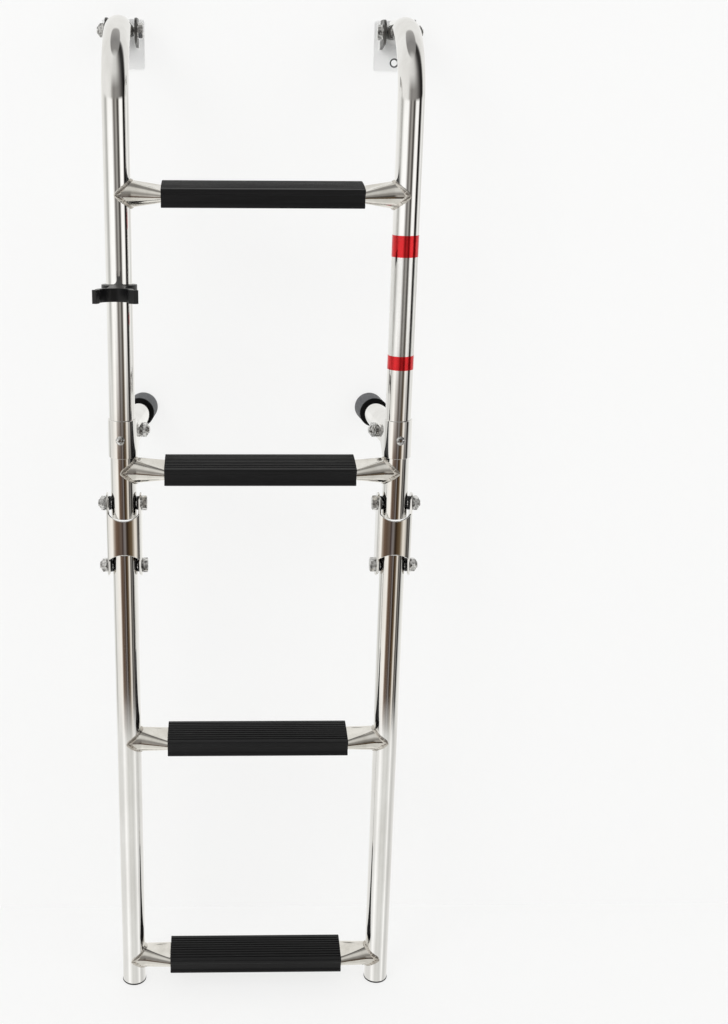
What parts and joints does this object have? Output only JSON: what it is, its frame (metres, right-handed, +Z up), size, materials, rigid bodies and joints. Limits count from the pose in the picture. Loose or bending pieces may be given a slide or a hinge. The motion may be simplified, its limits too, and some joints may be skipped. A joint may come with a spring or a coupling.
{
  "type": "folding boat boarding ladder",
  "caption": "Hooked stainless tube boarding ladder whose lower half folds up on paired links, with ribbed treads, hinge brackets, swinging standoffs and a storage clip.",
  "frame": {"origin": "centre of the hull face of the left hinge bracket's base plate", "axes": "+X from the left rail to the right rail, +Y into the hull, +Z up; the ladder's front faces -Y"},
  "size_m": [0.3232, 0.215, 1.0247],
  "materials": {
    "polished_stainless": "polished",
    "tread_plastic": "satin, ribbed",
    "black_nylon": "satin",
    "dark_plastic": "satin",
    "black_rubber": "matt"
  },
  "bodies": {
    "brackets": {"left_hinge_bracket": "polished_stainless", "right_hinge_bracket": "polished_stainless", "left_hinge_bolt": "polished_stainless", "right_hinge_bolt": "polished_stainless"},
    "upper_frame": {"left_upper_rail": "polished_stainless", "right_upper_rail": "polished_stainless", "first_rung": "polished_stainless", "second_rung": "polished_stainless", "first_tread": "tread_plastic", "second_tread": "tread_plastic", "storage_clip": "black_nylon", "left_standoff_clasp": "polished_stainless", "right_standoff_clasp": "polished_stainless", "left_standoff_bolt": "polished_stainless", "right_standoff_bolt": "polished_stainless"},
    "fold_links": {"left_fold_link": "polished_stainless", "right_fold_link": "polished_stainless", "left_top_link_bolt": "polished_stainless", "left_bottom_link_bolt": "polished_stainless", "right_top_link_bolt": "polished_stainless", "right_bottom_link_bolt": "polished_stainless", "left_link_spacers": "black_nylon", "right_link_spacers": "black_nylon"},
    "lower_frame": {"left_lower_rail": "polished_stainless", "right_lower_rail": "polished_stainless", "third_rung": "polished_stainless", "bottom_rung": "polished_stainless", "third_tread": "tread_plastic", "bottom_tread": "tread_plastic", "left_foot_plug": "dark_plastic", "right_foot_plug": "dark_plastic"},
    "left_standoff": {"left_standoff_tube": "polished_stainless", "left_standoff_cap": "black_rubber"},
    "right_standoff": {"right_standoff_tube": "polished_stainless", "right_standoff_cap": "black_rubber"}
  },
  "joints": [
    {"name": "ladder_swing", "type": "hinge", "parent": "brackets", "child": "upper_frame", "pos_m": [0.136, -0.031, 0.012], "axis": [-1, 0, 0], "range_deg": [0, 90]},
    {"name": "link_fold", "type": "hinge", "parent": "upper_frame", "child": "fold_links", "pos_m": [0.136, -0.138, -0.438], "axis": [-1, 0, 0], "range_deg": [0, 90]},
    {"name": "lower_fold", "type": "hinge", "parent": "fold_links", "child": "lower_frame", "pos_m": [0.136, -0.138, -0.504], "axis": [-1, 0, 0], "range_deg": [0, 90]},
    {"name": "left_standoff_swing", "type": "hinge", "parent": "upper_frame", "child": "left_standoff", "pos_m": [0.00345, -0.10518, -0.3701], "axis": [0.9945, -0.1045, 0], "range_deg": [-90, 90]},
    {"name": "right_standoff_swing", "type": "hinge", "parent": "upper_frame", "child": "right_standoff", "pos_m": [0.26855, -0.10518, -0.3701], "axis": [0.9945, 0.1045, 0], "range_deg": [-90, 90]}
  ]
}
